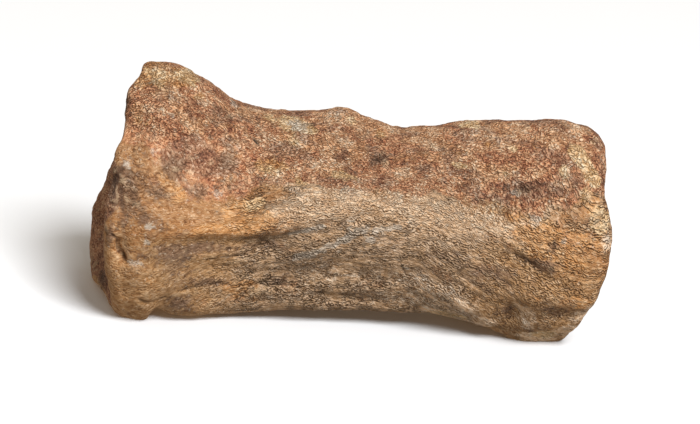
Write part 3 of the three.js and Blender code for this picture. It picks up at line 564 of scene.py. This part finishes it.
redEdge = np.interp(x, colouring["redEdge"]["x"], colouring["redEdge"]["ridge"])
fade = 0.16 + 0.24 * smoothStep(-20, -30, x)  # the crust thins out slowly near the front end
red = 1 - smoothStep(-1, 1, (down - redEdge + 0.5 * fractalNoise(grid / 2.6, 3, 21)) / fade)
red *= 1 - jointFace
crusted = np.maximum(red, jointFace)

cells, heights = weathering["cells"], weathering["heights"]
grain = fractalNoise(wander / cells["grain"], 2, 5)
wrinkle = 0.5 - np.abs(fractalNoise(wander / cells["wrinkle"], 2, 9)) * 2
crumb = fractalNoise((grid + warp) / cells["crumb"], 3, 31)
scab = fractalNoise((grid + warp) / cells["scab"], 2, 37)
grit = fractalNoise(grid / cells["grit"], 2, 43)
fine = (1 - red) * (1 - jointFace) * (heights["grain"] * grain + heights["wrinkle"] * wrinkle)
fine += (0.25 + 0.75 * crusted) * heights["crumb"] * crumb
fine += (0.3 + 0.7 * crusted) * heights["scab"] * scab
fine += heights["grit"] * grit
crackShade = np.zeros_like(fine)
ragged = grid + 0.5 * np.stack([fractalNoise(grid / 1.6, 2, seed) for seed in (51, 57, 63)], -1)
# each crack gapes more and less along its way, and is painted darker the deeper it is, as shade: one of 0.9
# mm or more is fully dark
gape = np.clip(0.8 + 0.9 * fractalNoise(grid / 1.8, 2, 67), 0.35, 1.3)
for line, width, depth in weathering["cracks"]:
    share = np.exp(-((lineDistance(ragged, line) / (width * gape)) ** 2)) * np.minimum(gape, 1)
    fine -= depth * share
    crackShade = np.maximum(crackShade, share * min(depth / 0.9, 1))
# hollows lie under the mean of the skin close by, and under the mean further round
near, far = softened(fine, 3), softened(fine, 14)
hollow = np.clip((near - fine + 0.5 * (far - near)) / weathering["hollowDepth"], -1, 1)
grid = grid + gridNormals(grid) * fine[..., None]
grid[..., 2] = np.maximum(grid[..., 2], bone["wornTo"])
print("bone surface made", grid.shape)

# Colour zones, each 0 to 1 at every point of the skin, and the two places along and across the grain.
x = grid[..., 0]
loose = fractalNoise(grid / 5, 3, 71)
front, rim, hind = (colouring[key] for key in ("frontOchre", "rimOchre", "hindOchre"))
top, coat = colouring["crest"], colouring["clay"]
frontOchre = (1 - smoothStep(*front["x"], x + 6 * loose)) * band(front["starts"], front["ends"], down)
rimOchre = (1 - smoothStep(*rim["x"], x + 6 * loose)) * smoothStep(*rim["starts"], down)
rimOchre *= rim["strength"] * (1 - 0.5 * smoothStep(*rim["thins"], down))
hindOchre = smoothStep(*hind["x"], x + 8 * loose) * np.exp(-(((down - hind["ridge"]) / hind["reach"]) ** 2))
ochre = np.clip(np.maximum(np.maximum(frontOchre, rimOchre), hind["strength"] * hindOchre), 0, 1)
# the crest is palest along one line, has a fainter band under it, and fades towards the ends
off = down - np.interp(x, top["x"], top["ridge"]) + 0.25 * loose
crest = np.exp(-((off / 0.4) ** 2)) + 0.3 * np.exp(-(((off - 0.6) / 0.5) ** 2))
pale = np.clip((0.3 + 0.7 * band(top["starts"], top["ends"], x)) * crest, 0, 1)
clay = smoothStep(*coat["x"], np.abs(x) + 7 * loose) * smoothStep(*coat["starts"], down)
clay *= np.where(x < 0, 1, 0.85)


def patchField(key, edge):
    # The patches' sum with a noise of 1.3 mm added, which makes their edges ragged, is cut off softly.
    field = bumpSum(ragged, colouring[key]) + edge * fractalNoise(ragged / 1.3, 3, 83)
    return smoothStep(*colouring["zoneEdge"], field)


scrape = np.zeros_like(x)
for line, width in colouring["scratches"]:
    scrape = np.maximum(scrape, np.exp(-((lineDistance(ragged, line) / width) ** 2)))
clouds = [fractalNoise(wander / [3.8, 2.6, 2.6], 3, 101), fractalNoise(wander / [4.2, 2.8, 2.8], 3, 113)]
paleArchTop = 0.07 * (1 - smoothStep(0.5, 1.3, down))  # the crust is paler along the top of the arch: painted light from above
tanClouds = 0.7 * smoothStep(0.02, 0.2, clouds[0] + paleArchTop)
plumClouds = 0.6 * red * smoothStep(0.04, 0.2, clouds[1])
zones = {
    "redCrust": red,
    "tanCrust": red * np.maximum(patchField("tan", 0.6), tanClouds),
    "plumCrust": np.maximum(patchField("plum", 0.6), plumClouds),
    "ochreStain": ochre * (1 - jointFace),
    "claySkin": clay * (1 - jointFace),
    "paleCrest": pale * (1 - jointFace),
    "jointFace": jointFace,
    "amberStain": patchField("amber", 0.6),
    "dustedWall": patchField("dusted", 0.6),
    "clayFilled": smoothStep(-18, -34, x + 4 * loose) * (1 - smoothStep(36, 40, grid[..., 2])),
    "creamSkin": patchField("cream", 0.4),
    "darkStainAndShade": np.clip(bumpSum(ragged, colouring["dark"]), 0, 1),
    "chalk": np.maximum(patchField("chalk", 0.4), smoothStep(0.3, 0.9, scrape + 0.5 * grit)),
    "crack": crackShade,
    # how deep each point lies, which drives painted shade in the hollows and a painted highlight on the
    # raised skin
    "hollow": 0.5 + 0.5 * hollow,
    "across": straightRadius * angle,  # millimetres across the grain
    "fibre": fibre * mm,
}


def placed(name, data):
    # An object of the data, linked to the scene.
    thing = bpy.data.objects.new(name, data)
    bpy.context.scene.collection.objects.link(thing)
    return thing


def perVertex(field):
    # Row by row, but the first and the last row each meet in one vertex, which takes their mean.
    middles = [field[:1].mean(1), field[-1:].mean(1)]
    inner = field[1:-1].reshape((-1,) + field.shape[2:])
    return np.concatenate([inner] + middles).astype(np.float32)


def gridMesh(name, surface, fields):
    # The grid becomes quads, closed round the bone, with a fan of triangles at each end.
    rows, columns = surface.shape[:2]
    number = np.arange((rows - 2) * columns).reshape(rows - 2, columns)
    a, b = number[:-1], number[1:]
    quads = np.stack([a, np.roll(a, -1, 1), np.roll(b, -1, 1), b], -1).reshape(-1, 4)
    first = np.stack([np.roll(number[0], -1), number[0], np.full(columns, number.size)], -1)
    last = np.stack([number[-1], np.roll(number[-1], -1), np.full(columns, number.size + 1)], -1)
    corners = np.concatenate([quads.ravel(), first.ravel(), last.ravel()])
    starts = np.concatenate([np.arange(len(quads)) * 4, len(quads) * 4 + np.arange(2 * columns) * 3])
    mesh = bpy.data.meshes.new(name)
    vertices = perVertex(surface)
    mesh.vertices.add(len(vertices))
    mesh.vertices.foreach_set("co", vertices.ravel())
    mesh.loops.add(len(corners))
    mesh.loops.foreach_set("vertex_index", corners)
    mesh.polygons.add(len(starts))
    mesh.polygons.foreach_set("loop_start", starts)
    mesh.update(calc_edges=True)
    mesh.polygons.foreach_set("use_smooth", np.ones(len(starts), bool))
    for key, field in fields.items():
        kind, part = ("FLOAT_VECTOR", "vector") if field.ndim > 2 else ("FLOAT", "value")
        mesh.attributes.new(key, kind, "POINT").data.foreach_set(part, perVertex(field).ravel())
    mesh.validate()
    return placed(name, mesh)


low, high = (np.array(corner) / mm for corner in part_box("vertebra"))
skinLow, skinHigh = grid.reshape(-1, 3).min(0), grid.reshape(-1, 3).max(0)
grid = low + (grid - skinLow) * (high - low) / (skinHigh - skinLow)  # fills the solid's own box
vertebra = gridMesh("fossilVertebra", grid * mm, zones)
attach(vertebra, "root")
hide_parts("vertebra")
print("vertebra mesh:", len(vertebra.data.polygons), "faces")


def linearColour(hexCode):
    # sRGB to linear light: p / 12.92 near black, and ((p + 0.055) / 1.055)^2.4 above it.
    parts = [int(hexCode[n : n + 2], 16) / 255 for n in (1, 3, 5)]
    return [p / 12.92 if p <= 0.04045 else ((p + 0.055) / 1.055) ** 2.4 for p in parts] + [1]


def addNode(tree, kind, settings=None, links=None):
    # Makes a node, sets its properties, and gives its inputs values or links.
    node = tree.nodes.new(kind)
    for key, value in (settings or {}).items():
        setattr(node, key, value)
    for key, value in (links or {}).items():
        if isinstance(value, bpy.types.NodeSocket):
            tree.links.new(value, node.inputs[key])
        else:
            node.inputs[key].default_value = value
    return node


# Mineralised bone: apatite and iron oxide, dug from sandstone and left dry. Its wall is fibrous and dull,
# the arch keeps a red-brown crust of iron, and clay the colour of ochre clings to the ends.
fossil = {
    "name": "mineralisedBone",
    "ior": 1.5, "sheen": 0.25, "roughness": (0.8, 0.97),
    "bumpDistance": 0.65,  # millimetres, as are the cells
    "cells": {"broadFold": 1.3, "fineFold": 0.56, "ripple": 0.66, "thread": 0.36}
    | {"crumb": 0.9, "grain": 0.5, "patch": 3.6, "mottle": 1.6, "drift": 1.7},
    # the wall folds lengthwise, three to one, and the crust, the crest and the faces nearly all ways alike
    "stretch": (0.36, 0.72),
    "driftBy": 1.2, "foldWidth": 0.12,
    # two noises bend the ripples: their cells, and how many ripples they shift them by
    "rippleBends": [(2.4, 6), (0.9, 2.8)],
    # each layer's share of the relief, on the crust and on the wall
    "relief": {
        "fineFolds": (0.7, 1.8), "broadFolds": (0.33, 0.33),
        "crumbs": (1.2, 0.3), "threads": (1.3, 1.1),
    },
    # each layer's mean, and its share of the tone on the crust and on the wall
    "pigmentAndShade": {
        "patches": (0.5, 0.45, 0.1), "mottle": (0.5, 0.35, 0.25),
        # threads and fine folds also raise the relief, so their share of the tone is painted shade in their
        # valleys and painted highlight on their tops
        "threads": (0.5, 0.5, 0.5), "fineFolds": (0.45, 0.08, 0.08),
    },
    "toneStops": (0.3, 0.42, 0.5, 0.59, 0.7),
    # each zone: how ragged its edge is, how far it covers, and its tones from dark hollows to pale grains
    "wall": ("#725436", "#937250", "#ad8a67", "#c2a384", "#d8c3aa"),
    "zones": {
        "claySkin": (0.8, 0.75, ("#614224", "#855e36", "#9e7345", "#b38b60", "#c8a682")),
        "ochreStain": (0.7, 0.85, ("#5b381e", "#82532b", "#96663b", "#a87d52", "#bd9b75")),
        "redCrust": (0.6, 1, ("#633826", "#996143", "#ba7f59", "#d09f77", "#e0c4a4")),
        "tanCrust": (0.5, 0.92, ("#7c5136", "#b37d54", "#d09b6f", "#dcb38c", "#e8d2b6")),
        "plumCrust": (0.5, 0.85, ("#4c3023", "#774f3b", "#91664b", "#a98368", "#c7ab95")),
        "paleCrest": (0.7, 0.92, ("#9c714a", "#c4986c", "#d7af88", "#e2c5a4", "#ebdcc4")),
        "jointFace": (0.2, 1, ("#3d281c", "#6a4733", "#8e6349", "#ab7f60", "#c9a384")),
        "amberStain": (0.9, 0.8, ("#764924", "#a56e3a", "#c08954", "#d0a373", "#dec09a")),
        "dustedWall": (0.7, 0.9, ("#98734f", "#c0976f", "#d9b48f", "#e4caae", "#ecdecb")),
        # dark stains, and painted shade in recesses
        "darkStainAndShade": (0.8, 0.88, ("#2c1f17", "#4a3526", "#614632", "#7a5c46", "#94775f")),
        "creamSkin": (0.7, 0.85, ("#ab8250", "#d0a56f", "#dfb888", "#e5c99f", "#ebdbbf")),
        "chalk": (1.1, 0.62, ("#7e7060", "#9c8f7e", "#b4a796", "#c9beae", "#ddd4c6")),
    },
    "stains": (  # clouds over every zone: cell in mm, where they start in the noise, share, colour
        (5.5, 0.56, 0.3, "#6b5a50"),
        (3.2, 0.58, 0.4, "#b07a50"),
        (1.7, 0.6, 0.4, "#4d352a"),
    ),
    "washes": (  # pale flecks, then painted highlight on the raised skin and painted shade in its hollows: what each follows, where it starts and is full, its share, colour
        ("grains", 0.6, 0.72, 0.4, "#e6ccb0"),
        # painted highlight: the raised skin is made paler
        ("hollow", 0.46, 0.05, 0.3, "#d8bd98"),
        # painted shade: the hollows of the skin are made darker
        ("hollow", 0.52, 1, 0.48, "#3b291e"),
    ),
    # painted shade: the crease tint darkens the valleys of the fine folds, and the crack colour darkens the
    # cracks by their depth
    "creaseShadeTint": "#a98f6e", "crackShadeColour": "#20150f",
}


def boneMaterial(values):
    # Layers of noise drive the relief and the tone; each zone is laid over the wall in its own tones.
    material = bpy.data.materials.new(values["name"])
    material.use_nodes = True
    tree = material.node_tree
    tree.nodes.clear()
    perMm = 1 / mm

    def named(key, output="Fac"):
        return addNode(tree, "ShaderNodeAttribute", {"attribute_name": key}).outputs[output]

    def noise(way, cell, detail=3, roughness=0.6):
        links = {"Vector": way, "Scale": perMm / cell, "Detail": detail, "Roughness": roughness}
        return addNode(tree, "ShaderNodeTexNoise", {}, links).outputs["Fac"]

    def sums(operation, *inputs):
        return addNode(tree, "ShaderNodeMath", {"operation": operation}, dict(enumerate(inputs))).outputs[0]

    def eased(value, low, high, most=1.0, least=0.0):
        links = {"Value": value, "From Min": low, "From Max": high, "To Min": least, "To Max": most}
        return addNode(tree, "ShaderNodeMapRange", {"interpolation_type": "SMOOTHSTEP"}, links).outputs[0]

    def laidOver(under, over, share, blend="MIX"):
        over = linearColour(over) if isinstance(over, str) else over
        settings = {"data_type": "RGBA", "blend_type": blend}
        return addNode(tree, "ShaderNodeMix", settings, {0: share, 6: under, 7: over}).outputs[2]

    def toned(value, tones):
        ramp = addNode(tree, "ShaderNodeValToRGB", {}, {"Fac": value})
        stops = ramp.color_ramp.elements
        for at in values["toneStops"][1:-1]:
            stops.new(at)
        for stop, at, tone in zip(stops, values["toneStops"], tones):
            stop.position, stop.color = at, linearColour(tone)
        return ramp.outputs["Color"]

    cells = values["cells"]
    place = addNode(tree, "ShaderNodeTexCoord").outputs["Object"]
    links = {"Vector": place, "Scale": perMm / cells["drift"], "Detail": 3}
    drift = addNode(tree, "ShaderNodeTexNoise", {}, links).outputs["Color"]

    def driven(way, stretch):
        links = {0: drift, 1: (values["driftBy"] * mm,) * 3, 2: way}
        moved = addNode(tree, "ShaderNodeVectorMath", {"operation": "MULTIPLY_ADD"}, links)
        links = {"Vector": moved.outputs["Vector"], "Scale": (stretch, 1, 1)}
        return addNode(tree, "ShaderNodeMapping", {}, links).outputs["Vector"]

    def folds(way, cell):
        # creases run where the noise crosses its mean, and their sides are straight slopes
        away = sums("ABSOLUTE", sums("SUBTRACT", noise(way, cell, 1, 0.5), 0.5))
        links = {"Value": away, "From Max": values["foldWidth"]}
        return addNode(tree, "ShaderNodeMapRange", {}, links).outputs[0]

    def between(share, first, second):
        return addNode(tree, "ShaderNodeMix", {}, {0: share, 2: first, 3: second}).outputs[0]

    fibres = named("fibre", "Vector")
    wallWay, crustWay = (driven(fibres, stretch) for stretch in values["stretch"])
    # fine creases lie side by side across the grain: |sin(pi * phase)| has rounded tops and sharp valleys
    (bendCell, bend), (shakeCell, shake) = values["rippleBends"]
    lines = sums("MULTIPLY", named("across"), 1 / cells["ripple"])
    phase = sums("MULTIPLY_ADD", noise(wallWay, bendCell, 2, 0.5), bend, lines)
    phase = sums("MULTIPLY_ADD", noise(place, shakeCell, 1, 0.5), shake, phase)
    ripples = sums("ABSOLUTE", sums("SINE", sums("MULTIPLY", phase, math.pi)))
    # here and there they break up
    broken = sums("MULTIPLY_ADD", noise(place, 5, 2, 0.5), 0.6, noise(wallWay, 1.3, 2, 0.5))
    wallFine = between(eased(broken, 0.66, 0.88), 0.7, ripples)

    onWall = sums("SUBTRACT", 1, sums("MAXIMUM", named("redCrust"), named("jointFace")))
    lengthwise = sums("MULTIPLY", onWall, sums("SUBTRACT", 1, sums("MULTIPLY", named("paleCrest"), 0.4)))
    broad = [folds(way, cells["broadFold"]) for way in (crustWay, wallWay)]
    threads = [noise(way, cells["thread"], 1.5) for way in (crustWay, wallWay)]
    layers = {
        "fineFolds": between(lengthwise, folds(crustWay, cells["fineFold"]), wallFine),
        "broadFolds": between(lengthwise, *broad),
        "threads": between(lengthwise, *threads),
        "crumbs": noise(place, cells["crumb"], 4, 0.68),
        "patches": noise(place, cells["patch"], 3, 0.5),
        "mottle": noise(place, cells["mottle"], 6, 0.8),
    }
    height, tone = 0, 0.5
    for key, shares in values["relief"].items():
        height = sums("MULTIPLY_ADD", layers[key], between(lengthwise, *shares), height)
    # tones follow broad patches and a finer mottle and, a little, the relief: raised grains are painted paler
    # and their hollows darker, a painted highlight and shade
    for key, (mean, *shares) in values["pigmentAndShade"].items():
        away = sums("SUBTRACT", layers[key], mean)
        tone = sums("MULTIPLY_ADD", away, between(lengthwise, *shares), tone)
    ragged = sums("SUBTRACT", layers["crumbs"], 0.5)
    colour = toned(tone, values["wall"])
    for key, (edge, cover, tones) in values["zones"].items():
        share = eased(sums("MULTIPLY_ADD", ragged, 2 * edge, named(key)), *colouring["zoneEdge"], cover)
        colour = laidOver(colour, toned(tone, tones), share)
    for cell, start, share, stain in values["stains"]:
        colour = laidOver(colour, stain, eased(noise(crustWay, cell, 4, 0.65), start, start + 0.12, share))
    follows = {"grains": noise(crustWay, cells["grain"], 2), "hollow": named("hollow")}
    # pale flecks, a painted highlight on raised skin and painted shade in its hollows
    for key, start, full, share, tint in values["washes"]:
        colour = laidOver(colour, tint, eased(follows[key], start, full, share))
    # clay lies over the wall towards the ends, and fills its grain near the front end
    bare = sums("MULTIPLY_ADD", named("claySkin"), -0.3, 1)
    # painted shade in the valleys of the fine folds, a little weaker where clay lies
    creaseShade = sums("MULTIPLY", eased(layers["fineFolds"], 0.45, 0, 0.8), bare)
    colour = laidOver(colour, values["creaseShadeTint"], creaseShade, "MULTIPLY")
    # painted shade in the cracks, deeper ones darker
    colour = laidOver(colour, values["crackShadeColour"], eased(named("crack"), 0.25, 0.9, 0.85))

    strength = sums("MULTIPLY", bare, sums("MULTIPLY_ADD", named("clayFilled"), -0.65, 1))
    links = {"Height": height, "Strength": strength, "Distance": values["bumpDistance"] * mm}
    bump = addNode(tree, "ShaderNodeBump", {}, links)
    dull = eased(layers["crumbs"], 0.3, 0.7, values["roughness"][1], values["roughness"][0])
    links = {"Base Color": colour, "Roughness": dull, "Normal": bump.outputs["Normal"]}
    links |= {"IOR": values["ior"], "Specular IOR Level": values["sheen"]}
    surface = addNode(tree, "ShaderNodeBsdfPrincipled", {}, links)
    addNode(tree, "ShaderNodeOutputMaterial", {}, {"Surface": surface.outputs["BSDF"]})
    return material


vertebra.data.materials.append(boneMaterial(fossil))
print("material made")

# The studio: a pale floor, a broad soft light above and in front, and a bright room.
studio = {
    "floorColour": "#e2e1df", "floorSize": 3,
    "room": ("#fff5e8", 0.43),
    "lamp": {"place": (0.5, -1.3, 1.6), "width": 0.8, "watts": 73, "colour": "#f5f9ff"},
    "camera": {
        "azimuth": -10, "height": 20.3, "roll": 7.5, "lens": 135, "sensor": 36,
        "distance": 0.514, "target": (0.0001, 0, 0.02105),
    },
}


def paperMaterial(name, hexCode):
    # Matte paper, with almost no sheen.
    material = bpy.data.materials.new(name)
    material.use_nodes = True
    inputs = material.node_tree.nodes["Principled BSDF"].inputs
    inputs["Base Color"].default_value = linearColour(hexCode)
    inputs["Roughness"].default_value = 0.9
    return material


def makeStudio(values):
    # A floor at height 0, a lamp that faces the bone, and the even light of the room.
    half = values["floorSize"] / 2
    mesh = bpy.data.meshes.new("studioFloor")
    corners = [(-half, -half, 0), (half, -half, 0), (half, half, 0), (-half, half, 0)]
    mesh.from_pydata(corners, [], [(0, 1, 2, 3)])
    mesh.materials.append(paperMaterial("paleFloor", values["floorColour"]))
    floor = placed("studioFloor", mesh)
    floor.visible_diffuse = False  # the bone is lit by the room and the lamp, not by the floor
    lamp = values["lamp"]
    data = bpy.data.lights.new("keyLight", "AREA")
    data.size, data.energy, data.color = lamp["width"], lamp["watts"], linearColour(lamp["colour"])[:3]
    light = placed("keyLight", data)
    light.location = lamp["place"]
    facing = Vector(values["camera"]["target"]) - light.location
    light.rotation_euler = facing.to_track_quat("-Z", "Y").to_euler()
    world = bpy.data.worlds.new("brightRoom")
    world.use_nodes = True
    background = world.node_tree.nodes["Background"]
    background.inputs["Color"].default_value = linearColour(values["room"][0])
    background.inputs["Strength"].default_value = values["room"][1]
    bpy.context.scene.world = world


def makeCamera(values):
    # The camera stands back from the target by its distance, turned by azimuth and height, and is rolled.
    side, lift, roll = (math.radians(values[key]) for key in ("azimuth", "height", "roll"))
    back = Vector((math.sin(side) * math.cos(lift), -math.cos(side) * math.cos(lift), math.sin(lift)))
    level = Vector((0, 0, 1)).cross(back).normalized()
    turn = Matrix((level, back.cross(level), back)).transposed() @ Matrix.Rotation(roll, 3, "Z")
    data = bpy.data.cameras.new("camera")
    data.lens, data.sensor_width = values["lens"], values["sensor"]
    camera = placed("camera", data)
    place = Vector(values["target"]) + back * values["distance"]
    camera.matrix_world = Matrix.Translation(place) @ turn.to_4x4()
    bpy.context.scene.camera = camera


makeStudio(studio)
makeCamera(studio["camera"])
bpy.context.scene.view_settings.view_transform = "Standard"
print("studio ready")
